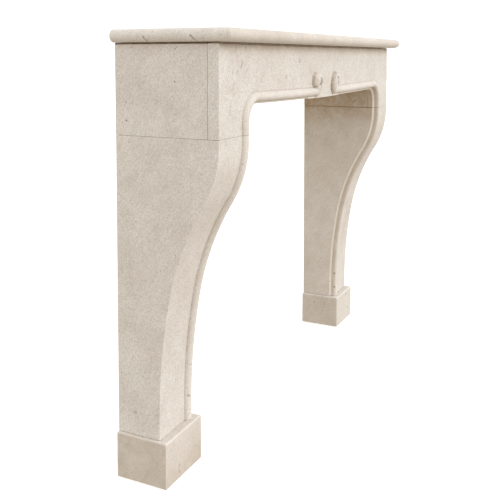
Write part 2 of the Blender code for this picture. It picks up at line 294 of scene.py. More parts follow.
def noise_field(points, size, seed):
    """Smooth noise from -1 to 1 at each point, with lumps of about the given size."""
    shift = Vector((seed * 3.17, seed * 1.73, seed * 2.41))
    return np.array([noise.noise(Vector(point) / size + shift) for point in points])


def held(values):
    """The values, kept between 0 and 1."""
    return np.clip(values, 0.0, 1.0)


def patina_of(points, normals):
    """How far smoke, dust, dirt and painted shade have browned the stone: most in the opening and under
    the shelf.
    """
    x, y, z = points.T
    sideways = np.abs(normals[:, 0])
    on_front = normals[:, 1] < -0.5
    below_shelf = z < SHELF_BOTTOM

    within = (np.abs(x) < INNER_X + SMOKE_AND_SHADE_PAST_EDGE) & (y > FACE_Y + SMOKE_AND_SHADE_BEHIND_FACE) & below_shelf
    facing = held(-normals[:, 0] * np.sign(x) * 1.6 - 0.3) * within
    deep = held((y - FACE_Y) / (BACK_Y - FACE_Y)) * held((z - SMOKE_AND_SHADE_RISE_START) / SMOKE_AND_SHADE_RISE)
    # Smoke stain together with painted shade inside the opening, darkest high up and at the back
    smoke_and_shade = facing * (np.interp(z, SMOKE_AND_SHADE_LEVELS, SMOKE_AND_SHADE_SHARES) + SMOKE_AND_SHADE_AT_BACK * deep)

    # Dust and painted shadow on the faces just under the shelf, most on the front
    near_shelf = held((z - SHELF_BOTTOM + DUST_AND_SHADE_REACH) / DUST_AND_SHADE_REACH) ** 1.5 * below_shelf
    dust_and_shade = near_shelf * np.where(on_front, DUST_AND_SHADE_ON_FRONT, DUST_AND_SHADE_ON_SIDE)
    # Dirt and painted shade in the open joint just under the shelf
    in_gap = (z > SHELF_BOTTOM - GAP_HEIGHT) * below_shelf
    gap = np.where(on_front, GAP_ON_FRONT, GAP_ON_SIDE) * in_gap
    # Painted shade on the front of the shelf's nose
    nose = NOSE_SHADE * (z > SHELF_BOTTOM) * (normals[:, 1] < -0.3)

    # The plinths' sides painted darker and browner
    plinth_side = held(sideways * 1.5 - 0.4) * (z < PLINTH_HIGH.z + 0.001) * PLINTH_SIDE_DARKENING
    inward = np.interp(x, (-PLINTH_HIGH.x, -PLINTH_LOW.x, 0.0), (0.35, 1.0, 0.0))
    splashed = SPLASH_DIRT * inward * (normals[:, 1] < -0.7) * held(1.2 - z / PLINTH_HIGH.z)

    at_joint = (np.abs(y - SLAB_BACK_Y) < JOINT_REACH) & (z > JOINT_LEVEL) & (sideways > 0.5)
    joint = np.where(facing > 0.5, JOINT_INSIDE, JOINT_OUTSIDE) * at_joint
    bed = BED_DIRT * (np.abs(z - JOINT_LEVEL) < BED_REACH) * (facing > 0.5)
    most = np.maximum.reduce([smoke_and_shade, dust_and_shade, gap, nose, plinth_side, splashed, joint, bed])
    return np.clip(most, 0.0, MOST_DIRT_AND_SHADE)


def skin_mesh(name, points, quads):
    """A mesh of a block's points and quads, with its faces pointing out, and the mesh's edges."""
    mesh = bpy.data.meshes.new(name)
    mesh.from_pydata(points.tolist(), [], quads)
    bm = bmesh.new()
    bm.from_mesh(mesh)
    bmesh.ops.recalc_face_normals(bm, faces=bm.faces)
    bm.to_mesh(mesh)
    bm.free()
    edges = np.zeros(len(mesh.edges) * 2, np.int32)
    mesh.edges.foreach_get("vertices", edges)
    return mesh, edges.reshape(-1, 2)


def move_points(mesh, points):
    """Put the mesh's points in their new places, and give its normals there."""
    mesh.vertices.foreach_set("co", points.ravel())
    mesh.update()
    normals = np.zeros(len(mesh.vertices) * 3, np.float32)
    mesh.vertex_normals.foreach_get("vector", normals)
    return normals.reshape(-1, 3).astype(float)


def ease_edges(points, weights, edges, seed, rounds):
    """Round the edges off, more in some places than in others, by drawing neighbours together."""
    wear = 1.0 + WEAR_SPREAD * noise_field(points, WEAR_SIZE, seed)
    wear = np.clip(wear, LEAST_WEAR, MOST_WEAR)
    ease = held(weights * wear)[:, None] * 0.5
    for _ in range(rounds):
        points += (neighbour_mean(points, edges, len(points)) - points) * ease


def bulge_of(points, normals, edges):
    """How far each point stands out from its neighbours: 1 on an edge and -1 in a crease."""
    bulge = np.sum((points - neighbour_mean(points, edges, len(points))) * normals, axis=1)
    for _ in range(2):
        bulge = neighbour_mean(bulge, edges, len(points))
    return np.clip(bulge / FULL_BULGE, -1.0, 1.0)


def sink_gap(points, normals):
    """Sink the open joint just under the shelf, less at the front than at the ends."""
    in_gap = (points[:, 2] > SHELF_BOTTOM - GAP_HEIGHT) & (points[:, 2] < SHELF_BOTTOM)
    at_end = in_gap & (np.abs(normals[:, 0]) > 0.4)
    in_front = in_gap & (normals[:, 1] < -0.4)
    points[at_end, 0] -= np.sign(points[at_end, 0]) * GAP_DEPTH
    points[in_front, 1] += GAP_DEPTH / 2


def dips_of(points, marks, seed):
    """How deep each point sinks, from the uneven face and the marks, and how much darker its marks are
    painted.
    """
    dip = UNEVENNESS * (0.5 + 0.5 * noise_field(points, BROAD_DIP_SIZE, seed + 1))
    dip += SMALL_UNEVENNESS * (0.5 + 0.5 * noise_field(points, SMALL_DIP_SIZE, seed + 2))
    stain = np.zeros(len(points))
    for centre, radius, depth in marks:
        reach = np.linalg.norm(points - np.array(centre), axis=1) / radius
        near = reach < MARK_REACH
        ragged = 1.0 + RAGGEDNESS * noise_field(points[near], radius * RAGGED_SIZE, seed + 3)
        inside = np.zeros(len(points))
        inside[near] = held(1.0 - (reach[near] / ragged) ** 2)
        dip += depth * inside ** 1.5
        # Marks are painted darker the deeper they are
        stain = np.maximum(stain, inside * min(1.0, depth / DARK_DEPTH))
    return dip, stain


def paint(mesh, **layers):
    """Give the mesh's points the values that the stone's material reads."""
    for label, values in layers.items():
        layer = mesh.attributes.new(label, "FLOAT", "POINT")
        layer.data.foreach_set("value", values.astype(np.float32))


def stone_block(name, counts, place, softness, material, seed, rounds=EASING_ROUNDS, marks=(),
                edge_distance=None):
    """One block: its grid skin put in place, its edges eased, its faces made slightly uneven.

    place gives all the points for their grid keys. marks are (point, radius, depth) chips and pits, and
    hollows painted as shade.
    edge_distance gives how far each point is from the opening's edge, for the fillet's painted highlight
    and the painted shade on the roll beside it.
    """
    keys, quads = shell(*counts)
    points = place(keys)
    mesh, edges = skin_mesh(name, points, quads)
    ease_edges(points, edge_weights(keys, edges, counts, softness), edges, seed, rounds)
    normals = move_points(mesh, points)
    bulge = bulge_of(points, normals, edges)
    sink_gap(points, normals)
    dip, stain = dips_of(points, marks, seed)
    points -= normals * dip[:, None]
    normals = move_points(mesh, points)

    patina = patina_of(points, normals)
    # A painted highlight on the front of the sunk fillet
    clean = np.zeros(len(points))
    if edge_distance is not None:
        distance = edge_distance(keys) - FILLET_WIDTH
        clean[distance < -FILLET_WALL / 2] = 1.0
        # Painted shade on the roll's flank, and a darker painted line in the crease by the fillet
        flank = held(1.0 - distance / ROLL_RADIUS) * ROLL_FLANK_SHADE + CREASE_SHADE * (distance < CREASE_WIDTH)
        patina = np.where(np.isfinite(distance), flank * (1.0 - clean), patina)
    paint(mesh, bulge=bulge, stain=stain, clean=clean, patina=patina)
    mesh.shade_smooth()
    mesh.set_sharp_from_angle(angle=math.radians(60))
    mesh.materials.append(material)
    thing = bpy.data.objects.new(name, mesh)
    bpy.context.scene.collection.objects.link(thing)
    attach(thing, "root")
    return thing


def all_edges(value, changes):
    """The same softness for all twelve edges of a block, apart from those in changes."""
    softness = {}
    for first in range(6):
        for second in range(first + 1, 6):
            if first // 2 != second // 2:
                softness[(first, second)] = value
    softness.update(changes)
    return softness


def moulding(t):
    """How proud the moulding stands of the face, t inwards from the opening's edge."""
    centre = FILLET_WIDTH + ROLL_RADIUS
    base = ROLL_PROUD - ROLL_RADIUS
    across = np.clip((t - centre) / ROLL_RADIUS, -1.0, 1.0)
    roll = base + ROLL_RADIUS * np.sqrt(1.0 - across ** 2)
    proud = np.where(t > centre, np.maximum(roll, 0.0), roll)
    wall = np.clip((t - FILLET_WIDTH + FILLET_WALL) / FILLET_WALL, 0.0, 1.0)
    return np.where(t < FILLET_WIDTH, base * wall - FILLET_DEPTH * (1.0 - wall), proud)


def on_moulding(on_front, t):
    """Distances from the opening's edge, kept for the front of the fillet and the roll only."""
    return np.where(on_front & (t < FILLET_WIDTH + 2 * ROLL_RADIUS), t, np.inf)


def moulding_steps():
    """Distances from the opening's edge that catch the fillet, its wall and the roll."""
    steps = list(FILLET_STEPS)
    steps += [FILLET_WIDTH - FILLET_WALL * share for share in FILLET_WALL_SHARES]
    for step in range(ROLL_STEPS + 1):
        steps.append(FILLET_WIDTH + ROLL_RADIUS * (1 - math.cos(math.pi * step / ROLL_STEPS)))
    return steps


def leg_curve(levels):
    """The S-curve of a leg's front: its Y and its lean from upright at each level."""
    foot = PLINTH_HIGH.z + FOOT_LENGTH
    top = JOINT_LEVEL - NECK_LENGTH
    drop_sweep = SWEEP_RADIUS * (1 - math.cos(SWEEP_ANGLE))
    drop_knee = KNEE_RADIUS * (math.cos(SWEEP_ANGLE) - math.cos(SLOPE_ANGLE))
    shoulder = (FOOT_SET_BACK - drop_sweep - drop_knee) / (1 - math.cos(SLOPE_ANGLE))
    arcs = ((SWEEP_RADIUS, 0.0, SWEEP_ANGLE, 1), (KNEE_RADIUS, SWEEP_ANGLE, SLOPE_ANGLE, 1),
            (shoulder, SLOPE_ANGLE, 0.0, -1))
    y, rise = FOOT_Y, 0.0
    drawn = [(y, rise, 0.0)]
    for radius, start, stop, bend in arcs:
        from_y, from_rise = y, rise
        for step in range(1, ARC_STEPS + 1):
            lean = start + (stop - start) * step / ARC_STEPS
            y = from_y - bend * radius * (math.cos(start) - math.cos(lean))
            rise = from_rise + bend * radius * (math.sin(lean) - math.sin(start))
            drawn.append((y, rise, lean))
    ys, rises, leans = np.array(drawn).T
    heights = foot + rises * (top - foot) / rises[-1]
    return np.interp(levels, heights, ys), np.interp(levels, heights, leans)


def make_leg(side, word, material, seed, marks):
    """A leg: the moulding carried up the curve, with flat sides and back."""
    steps = np.array(moulding_steps())
    plain = spaced(2 * ROLL_RADIUS + FILLET_WIDTH, LEG_WIDTH, COARSE)[1:]
    across = np.concatenate([steps, plain])
    proud = moulding(across)
    levels = spaced(LEG_LOW.z, LEG_HIGH.z, COARSE, near=[mark[0][2] for mark in marks])
    depths = spaced(0.0, 1.0, *LEG_DEPTH_STEPS, near=[LEG_TIGHT_DEPTH])
    front_y, lean = leg_curve(levels)
    counts = (len(across) - 1, len(depths) - 1, len(levels) - 1)

    def place(keys):
        a, d, c = keys.T
        shift = proud[a] * np.sin(lean[c])
        free = (c > 0) & (c < counts[2])
        front = np.stack([side * (INNER_X + across[a]), front_y[c] - proud[a] * np.cos(lean[c]),
                          levels[c] - shift * free], axis=1)
        back = np.stack([side * (INNER_X + across[a]), np.full(len(a), BACK_Y), levels[c]], axis=1)
        share = depths[d][:, None]
        return front * (1 - share) + back * share

    softness = all_edges(JOINT_EDGE, {(LOW_A, LOW_B): CRISP_EDGE, (HIGH_A, LOW_B): EASED_EDGE,
                                      (LOW_A, HIGH_B): CRISP_EDGE, (HIGH_A, HIGH_B): CRISP_EDGE})
    thing = stone_block("carved_leg_" + word, counts, place, softness, material, seed, marks=marks,
                        edge_distance=lambda keys: on_moulding(keys[:, 1] == 0, across[keys[:, 0]]))
    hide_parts("leg_" + word)


def lower_edge(x):
    """Height of the lintel's lower edge, a shallow bow that is lowest in the middle."""
    reach = INNER_X - CORNER_RADIUS
    return OPENING_HEIGHT - EDGE_BOW * (1 - np.minimum(np.abs(x) / reach, 1.0) ** 2)


def opening_stations():
    """Stations round the opening from the left joint to the right one.

    Each is (edge x, edge z, inward x, inward z, outer x, outer z), the last two on the slab's rim.
    """
    reach = INNER_X - CORNER_RADIUS
    top = SHELF_BOTTOM - JOINT
    right = []
    for z in spaced(JOINT_LEVEL + JOINT, OPENING_HEIGHT - CORNER_RADIUS, COARSE)[:-1]:
        right.append((INNER_X, z, 1.0, 0.0, OUTER_X, z))
    arc_z = OPENING_HEIGHT - CORNER_RADIUS
    by_gap = top - GAP_HEIGHT * np.array(GAP_LEVELS)
    up_the_side = np.linspace(arc_z, top - ABOVE_CORNER_LEVEL * GAP_HEIGHT,
                              CORNER_STEPS // 2 + 1 - len(by_gap))
    rim = np.concatenate([up_the_side, by_gap])
    for step in range(CORNER_STEPS + 1):
        angle = math.pi / 2 * step / CORNER_STEPS
        inward = (math.cos(angle), math.sin(angle))
        share = 2 * step / CORNER_STEPS
        if share <= 1:
            outer = (OUTER_X, rim[step])
        else:
            outer = (OUTER_X + (reach - OUTER_X) * (share - 1), top)
        right.append((reach + inward[0] * CORNER_RADIUS, arc_z + inward[1] * CORNER_RADIUS,
                      inward[0], inward[1], outer[0], outer[1]))
    middle = np.arange(0.0, SCROLL_ZONE, SCROLL_STEP)
    straight = np.concatenate([middle, spaced(SCROLL_ZONE, reach, STRAIGHT_STEP)[:-1]])
    for x in straight[::-1]:
        right.append((x, float(lower_edge(x)), 0.0, 1.0, x, top))
    left = [(-x, z, -ix, iz, -ox, oz) for x, z, ix, iz, ox, oz in right[:-1]]
    return np.array(left + right[::-1])


def dome(across, height):
    """A round of the given height over its sunk base, where across runs from 0 to 1."""
    return (height + SCROLL_SINK) * np.sqrt(np.clip(1.0 - across ** 2, 0.0, 1.0)) - SCROLL_SINK


def mound(u, v, width, height, proud):
    """A blunt round that grows out of the slab."""
    across = np.abs(2 * u / width) ** BLUNTNESS + np.abs(2 * v / height) ** BLUNTNESS
    return (proud + SCROLL_SINK) * np.clip(1.0 - across, 0.0, 1.0) ** (1 / BLUNTNESS) - SCROLL_SINK


def smooth(share):
    """The share from 0 to 1, eased at both ends."""
    return share * share * (3 - 2 * share)


def soft_max(first, second, width):
    """The greater of two heights, with the crease between them rounded off."""
    share = np.clip(0.5 + 0.5 * (first - second) / width, 0.0, 1.0)
    return second * (1 - share) + first * share + width * share * (1 - share)


def scroll_relief(x, z):
    """How proud the stone stands in the middle of the lintel, where the moulding ends in scrolls."""
    t = z - lower_edge(x)
    u = np.abs(x) - SCROLL_X
    v = z - SCROLL_Z
    limb = np.full(len(x), -SCROLL_SINK)
    start = SCROLL_RADIUS - FILLET_WIDTH - ROLL_RADIUS
    for turned in np.linspace(0.0, LIMB_SWEEP, LIMB_STEPS):
        angle = turned - math.pi / 2
        eased = min(1.0, turned / math.pi)
        centre_u = -(start + (SCROLL_RADIUS - LIMB_TIP_RADIUS - start) * eased) * math.cos(angle)
        centre_v = (start + (SCROLL_RISE - LIMB_TIP_RADIUS - start) * eased) * math.sin(angle)
        radius = ROLL_RADIUS + (LIMB_TIP_RADIUS - ROLL_RADIUS) * eased
        proud = ROLL_PROUD + (SCROLL_PROUD - ROLL_PROUD) * smooth(min(1.0, LIMB_RISE * eased))
        limb = np.maximum(limb, dome(np.hypot(u - centre_u, v - centre_v) / radius, proud))

    knob_v = v - SCROLL_RISE + KNOB_HEIGHT / 2
    taper = 1.0 - KNOB_TAPER * np.clip(0.5 + knob_v / KNOB_HEIGHT, 0.0, 1.0)
    knob = mound((u - KNOB_OFFSET) / taper, knob_v, KNOB_WIDTH, KNOB_HEIGHT, SCROLL_PROUD)
    heart = mound(u - HEART_OFFSET, v, HEART_WIDTH, HEART_HEIGHT, HEART_PROUD)
    reach = np.hypot(u, v)
    turned = np.mod(np.arctan2(v, -u) + math.pi / 2, 2 * math.pi)

    share = np.clip(turned / GROOVE_SWEEP, 0.0, 1.0)
    half = FILLET_WIDTH / 2 * (1 - GROOVE_TAPER * share)
    off = np.abs(reach - (SCROLL_RADIUS - FILLET_WIDTH / 2))
    inside = np.clip((half - off) / FILLET_WALL + 0.5, 0.0, 1.0)
    groove = np.where(turned < GROOVE_SWEEP, -FILLET_DEPTH * (1 - share) ** GROOVE_FADE * inside, 0.0)

    outward = u > 0
    ground = np.where(outward, moulding(t), groove)
    height = soft_max(ground, limb, SCROLL_BLEND)
    height = soft_max(height, heart, 2 * SCROLL_BLEND)
    height = np.where(outward & (t < FILLET_WIDTH), moulding(t), height)
    height = soft_max(height, knob, SCROLL_BLEND)

    eye_reach = np.hypot((u - EYE_OFFSET) / (EYE_WIDTH / 2), (v - EYE_RISE) / (EYE_HEIGHT / 2))
    eye = np.clip(1.0 - eye_reach, 0.0, 1.0)
    return height - np.maximum(0.0, height - EYE_FLOOR) * np.sqrt(eye)


def make_lintel(material, seed, marks):
    """The slab over the opening, with its moulding and the two scrolls, as one carved relief."""
    stations = opening_stations()
    band = np.array(moulding_steps())
    rows = np.concatenate([band, np.arange(band[-1] + SCROLL_STEP, SCROLL_TOP, SCROLL_STEP)])
    rest = spaced(0.0, 1.0, *LINTEL_REST_STEPS)[1:]
    depths = spaced(0.0, 1.0, *LINTEL_DEPTH_STEPS)
    counts = (len(stations) - 1, len(rows) + len(rest) - 1, len(depths) - 1)

    def place(keys):
        s, r, d = keys.T
        edge_x, edge_z, in_x, in_z, rim_x, rim_z = stations[s].T
        beyond = r >= len(rows)
        t = rows[np.minimum(r, len(rows) - 1)]
        x = edge_x + in_x * t
        z = edge_z + in_z * t
        share = np.where(beyond, rest[np.clip(r - len(rows), 0, len(rest) - 1)], 0.0)
        x = x + (rim_x - x) * share
        z = z + (rim_z - z) * share
        middle = (np.abs(edge_x) < SCROLL_ZONE) & ~beyond
        relief = np.where(beyond, 0.0, moulding(t))
        relief[middle] = scroll_relief(x[middle], z[middle])
        depth = depths[d]
        y = (FACE_Y - relief) * (1 - depth) + SLAB_BACK_Y * depth
        return np.stack([x, y, z], axis=1)

    def edge_distance(keys):
        on_front = (keys[:, 2] == 0) & (np.abs(stations[keys[:, 0], 0]) > SCROLL_X)
        return on_moulding(on_front, rows[np.minimum(keys[:, 1], len(rows) - 1)])

    softness = all_edges(JOINT_EDGE, {(LOW_B, LOW_C): CRISP_EDGE, (LOW_B, HIGH_C): CRISP_EDGE,
                                      (HIGH_B, LOW_C): CRISP_EDGE})
    thing = stone_block("carved_lintel", counts, place, softness, material, seed, LINTEL_ROUNDS, marks,
                        edge_distance)
    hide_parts("lintel")


def make_box(name, node, low, high, softness, material, seed, marks, rounds=EASING_ROUNDS, fine=FINE):
    """A squared block with its own worn edges."""
    lines = []
    for axis in range(3):
        near = [mark[0][axis] for mark in marks]
        lines.append(spaced(low[axis], high[axis], COARSE, near=near, fine=fine))

    def place(keys):
        return np.stack([lines[axis][keys[:, axis]] for axis in range(3)], axis=1)

    counts = tuple(len(line) - 1 for line in lines)
    thing = stone_block(name, counts, place, softness, material, seed, rounds=rounds, marks=marks)
    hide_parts(node)


def make_shelf(material, seed, marks):
    """The shelf: a half-round nose on three sides, mitred at the front corners."""
    half_height = (SHELF_HIGH.z - SHELF_LOW.z) / 2
    reach_x, front_y = SHELF_HIGH.x, SHELF_LOW.y
    span_y = BACK_Y - front_y
    xs = spaced(-1.0, 1.0, *SHELF_LENGTH_STEPS, near=[mark[0][0] / reach_x for mark in marks])
    ys = spaced(0.0, 1.0, *SHELF_DEPTH_STEPS, near=[(mark[0][1] - front_y) / span_y for mark in marks])
    counts = (len(xs) - 1, len(ys) - 1, NOSE_STEPS)

    def place(keys):
        a, b, c = keys.T
        angle = math.pi * (c / NOSE_STEPS - 0.5)
        inset = NOSE_DEPTH * (1 - np.cos(angle))
        x = xs[a] * (reach_x - inset)
        y = BACK_Y + (ys[b] - 1.0) * (span_y - inset)
        z = SHELF_LOW.z + half_height * (1 + np.sin(angle))
        return np.stack([x, y, z], axis=1)

    softness = {(LOW_A, LOW_B): CRISP_EDGE, (HIGH_A, LOW_B): CRISP_EDGE,
                (LOW_A, HIGH_B): CRISP_EDGE, (HIGH_A, HIGH_B): CRISP_EDGE}
    thing = stone_block("mantel_shelf", counts, place, softness, material, seed, marks=marks)
    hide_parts("shelf")


# The stone's colours
CREAM = (0.650, 0.600, 0.543)
PALE = (0.700, 0.655, 0.603)
SAND = (0.575, 0.515, 0.450)
# The brown of painted shade in creases and hollows
CREASE_SHADE_BROWN = (0.470, 0.395, 0.310)
# The brown of smoke, dust and dirt, also laid on as painted shade
DIRT_AND_SHADE_BROWN = (0.350, 0.232, 0.118)
# The light cream of the fillet's painted highlight
FILLET_HIGHLIGHT_COLOUR = (0.880, 0.830, 0.760)
PIT = (0.220, 0.180, 0.135)

# How many lumps of each pattern fit in a metre
CLOUD_SCALE = 5.0
BLOTCH_SCALE = 15.0
SMUT_SCALE = 28.0
STREAK_SCALE = 150.0
MOTTLE_SCALE = 210.0
GRAIN_SCALE = 460.0

# The tool marks: how they are turned, and how much longer than wide they are drawn
STREAK_TURN = (-0.675, -0.155, 0.0)
STREAK_DRAW = (1.0, 1.0, 0.12)

# Round spots as (scale, share of the cells that have one, size in its cell), and their edges
FLECKS = (80.0, 0.22, 0.19)
SOOT = (95.0, 0.60, 0.30)
PITS = (23.0, 0.08, 0.065)
SPOT_SOFTNESS = 0.02
SPOT_CORE = 0.4

# How dark the spots and chips are made, and how far the fillet's painted highlight lightens it
FLECK_SHARE = 0.40
SOOT_SHARE = 0.50
PIT_SHARE = 0.60
MARK_DARKENING_SHARE = 0.90
FILLET_HIGHLIGHT_SHARE = 0.90

# How far each fine pattern lightens or darkens the stone, and how high it stands in the bump
MOTTLE_TONE = 0.20
GRAIN_TONE = 0.20
STREAK_TONE = 0.06
# How much the painted highlight lightens the edges
EDGE_HIGHLIGHT = 0.14
BUMP_HEIGHTS = (0.5, 0.45, -0.4, -1.5)
BUMP_STRENGTH = 0.60
BUMP_DISTANCE = 0.0010


class Nodes:
    """A short way to write a material's nodes and links."""

    def __init__(self, tree):
        self.tree = tree

    def add(self, kind, inputs=(), **settings):
        """A new node with its settings, and with a value or a link for each named input."""
        node = self.tree.nodes.new(kind)
        for label, value in settings.items():
            setattr(node, label, value)
        for socket, value in dict(inputs).items():
            if isinstance(value, bpy.types.NodeSocket):
                self.tree.links.new(value, node.inputs[socket])
            else:
                node.inputs[socket].default_value = value
        return node

    def noise(self, place, scale, detail=3.0, rough=0.55):
        """Soft noise from 0 to 1, with about scale lumps in a metre."""
        return self.add("ShaderNodeTexNoise", {"Vector": place, "Scale": scale, "Detail": detail,
                                               "Roughness": rough}).outputs["Fac"]

    def ramp(self, value, low, high, to_low=0.0, to_high=1.0):
        """The value carried from one range to another, and held at its ends."""
        return self.add("ShaderNodeMapRange", {"Value": value, "From Min": low, "From Max": high,
                                               "To Min": to_low, "To Max": to_high}).outputs["Result"]

    def attribute(self, name):
        """One of the values painted on the mesh's points."""
        return self.add("ShaderNodeAttribute", attribute_name=name).outputs["Fac"]

    def maths(self, operation, first, second):
        """The result of one sum of two numbers."""
        return self.add("ShaderNodeMath", {0: first, 1: second}, operation=operation).outputs[0]

    def mix(self, share, first, second, blend="MIX"):
        """A mix of two colours: the node's inputs 0, 6 and 7 are the share and the colours."""
        node = self.add("ShaderNodeMix", data_type="RGBA", blend_type=blend)
        for index, value in ((0, share), (6, first), (7, second)):
            if isinstance(value, bpy.types.NodeSocket):
                self.tree.links.new(value, node.inputs[index])
            else:
                node.inputs[index].default_value = value if index == 0 else (*value, 1.0)
        return node.outputs[2]

    def vector(self, operation, first, second, output="Vector", scale=1.0):
        """The result of one sum of two vectors, or of a vector and a scale, which is input 3."""
        return self.add("ShaderNodeVectorMath", {0: first, 1: second, 3: scale},
                        operation=operation).outputs[output]

    def distance(self, place, start, end):
        """How far a place is from the line between two points."""
        length = math.dist(start, end)
        along = tuple((b - a) / length for a, b in zip(start, end))
        offset = self.vector("SUBTRACT", place, start)
        reach = self.vector("DOT_PRODUCT", offset, along, "Value")
        on_line = self.add("ShaderNodeClamp", {"Value": reach, "Min": 0.0, "Max": length}).outputs[0]
        nearest = self.vector("SCALE", along, along, scale=on_line)
        return self.vector("DISTANCE", offset, nearest, "Value")

    def spots(self, place, scale, share, size):
        """1 inside small round spots, which only some of the cells have."""
        cells = self.add("ShaderNodeTexVoronoi", {"Vector": place, "Scale": scale})
        draw = self.add("ShaderNodeTexWhiteNoise", {"Vector": cells.outputs["Color"]}).outputs["Value"]
        chosen = self.ramp(draw, share, share - SPOT_SOFTNESS)
        near = self.ramp(cells.outputs["Distance"], size, size * SPOT_CORE)
        return self.maths("MULTIPLY", chosen, near)


def limestone(name, seed, scratches_and_shade=()):
    """Honed limestone: soft clouds of tone, fine mottling, tool marks, small flecks and open pits, with
    painted highlights and painted shade.
    """
    material = bpy.data.materials.new(name)
    material.use_nodes = True
    tree = material.node_tree
    n = Nodes(tree)
    shader = tree.nodes["Principled BSDF"]
    where = n.add("ShaderNodeTexCoord").outputs["Object"]
    shift = (seed * 1.3, seed * 0.7, seed)
    place = n.add("ShaderNodeMapping", {"Vector": where, "Location": shift}).outputs["Vector"]
    turned = n.add("ShaderNodeMapping", {"Vector": place, "Rotation": STREAK_TURN}).outputs["Vector"]
    drawn_out = n.add("ShaderNodeMapping", {"Vector": turned, "Scale": STREAK_DRAW}).outputs["Vector"]

    clouds = n.noise(place, CLOUD_SCALE, 4.0, 0.6)
    blotches = n.noise(place, BLOTCH_SCALE, 4.0, 0.6)
    smuts = n.noise(place, SMUT_SCALE, 5.0, 0.75)
    mottle = n.noise(place, MOTTLE_SCALE, 3.0, 0.7)
    grain = n.noise(place, GRAIN_SCALE, 2.0, 0.6)
    streaks = n.noise(drawn_out, STREAK_SCALE, 2.0, 0.6)
    flecks = n.spots(place, *FLECKS)
    pits = n.spots(place, *PITS)
    bulge = n.attribute("bulge")
    patina = n.attribute("patina")

    colour = n.mix(n.ramp(clouds, 0.35, 0.65), CREAM, PALE)
    colour = n.mix(n.ramp(blotches, 0.42, 0.72, 0.0, 0.60), colour, SAND)
    # Painted highlight: edges that stand out are made lighter
    tone = n.ramp(bulge, 0.15, 0.9, 1.0, 1.0 + EDGE_HIGHLIGHT)
    for pattern, share in ((mottle, MOTTLE_TONE), (grain, GRAIN_TONE), (streaks, STREAK_TONE)):
        tone = n.maths("ADD", tone, n.ramp(pattern, 0.2, 0.8, -share, share))
    colour = n.mix(1.0, colour, tone, "MULTIPLY")
    # Painted highlight along the edges, paler where the stone stands out
    colour = n.mix(n.ramp(bulge, 0.15, 1.0, 0.0, 0.40), colour, PALE)
    # Painted shade in creases and hollows, where the stone sinks below its neighbours
    colour = n.mix(n.ramp(bulge, -0.15, -1.0, 0.0, 0.75), colour, CREASE_SHADE_BROWN)
    # The fillet's painted highlight
    colour = n.mix(n.maths("MULTIPLY", n.attribute("clean"), FILLET_HIGHLIGHT_SHARE), colour, FILLET_HIGHLIGHT_COLOUR)
    patchy = n.maths("ADD", n.ramp(mottle, 0.38, 0.62, 0.32, 0.68), n.ramp(smuts, 0.35, 0.65, 0.22, 0.78))
    # Browned by smoke, dust and dirt, and darkened by painted shade
    colour = n.mix(n.maths("MULTIPLY", patina, patchy), colour, DIRT_AND_SHADE_BROWN)
    # Soot specks, strewn where the browning is strong, painted shade included
    soot = n.maths("MULTIPLY", n.spots(place, *SOOT), n.ramp(patina, 0.30, 1.0))
    for spots, share in ((flecks, FLECK_SHARE), (soot, SOOT_SHARE), (pits, PIT_SHARE),
                         (n.attribute("stain"), MARK_DARKENING_SHARE)):
        colour = n.mix(n.maths("MULTIPLY", spots, share), colour, PIT)
    # Dark scratches, and painted shadow lines in hollows
    for start, end, radius, darkness in scratches_and_shade:
        line = n.ramp(n.distance(where, start, end), radius, radius * 0.3, 0.0, darkness)
        colour = n.mix(n.maths("MULTIPLY", line, n.ramp(mottle, 0.25, 0.6, 0.3, 1.0)), colour, PIT)
    tree.links.new(colour, shader.inputs["Base Color"])
    tree.links.new(n.ramp(mottle, 0.3, 0.7, 0.62, 0.80), shader.inputs["Roughness"])

    height = mottle
    for pattern, weight in zip((grain, streaks, flecks, pits), BUMP_HEIGHTS):
        height = n.maths("ADD", height, n.maths("MULTIPLY", pattern, weight))
    bump = n.add("ShaderNodeBump", {"Height": height, "Strength": BUMP_STRENGTH,
                                    "Distance": BUMP_DISTANCE})
    tree.links.new(bump.outputs["Normal"], shader.inputs["Normal"])
    return material


def make_blocks():
    """All eight blocks, each of its own stone, so that no two are marked alike."""
    joint_box = all_edges(JOINT_EDGE, {(LOW_A, HIGH_C): CRISP_EDGE, (HIGH_A, HIGH_C): CRISP_EDGE})
    worn_box = all_edges(EASED_EDGE, {(HIGH_B, LOW_C): CRISP_EDGE, (HIGH_B, HIGH_C): CRISP_EDGE,
                                      (LOW_B, HIGH_C): WORN_EDGE, (LOW_A, HIGH_C): WORN_EDGE,
                                      (HIGH_A, HIGH_C): WORN_EDGE})
    make_shelf(limestone("shelf_stone", 1.6), 1.0, SHELF_MARKS)
    make_lintel(limestone("lintel_stone", 2.0, FRIEZE_SCRATCHES_AND_SHADE), 2.0, LINTEL_MARKS)
    for side, word, seed in ((-1, "left", 3.0), (1, "right", 4.0)):
        make_leg(side, word, limestone("leg_stone_" + word, seed), seed, LEG_MARKS[word])
        low_x, high_x = sorted((side * INNER_X, side * OUTER_X))
        low = (low_x, RETURN_LOW.y, RETURN_LOW.z)
        high = (high_x, RETURN_HIGH.y, RETURN_HIGH.z)
        make_box("side_block_" + word, "return_" + word, low, high, joint_box,
                 limestone("block_stone_" + word, seed + 2.0), seed + 2.0, BLOCK_MARKS[word])
        low_x, high_x = sorted((side * PLINTH_LOW.x, side * PLINTH_HIGH.x))
        low = (low_x, PLINTH_LOW.y, PLINTH_LOW.z)
        high = (high_x, PLINTH_HIGH.y, PLINTH_HIGH.z)
        make_box("plinth_block_" + word, "plinth_" + word, low, high, worn_box,
                 limestone("plinth_stone_" + word, seed + 4.0), seed + 4.0, PLINTH_MARKS[word],
                 PLINTH_ROUNDS, PLINTH_FINE)


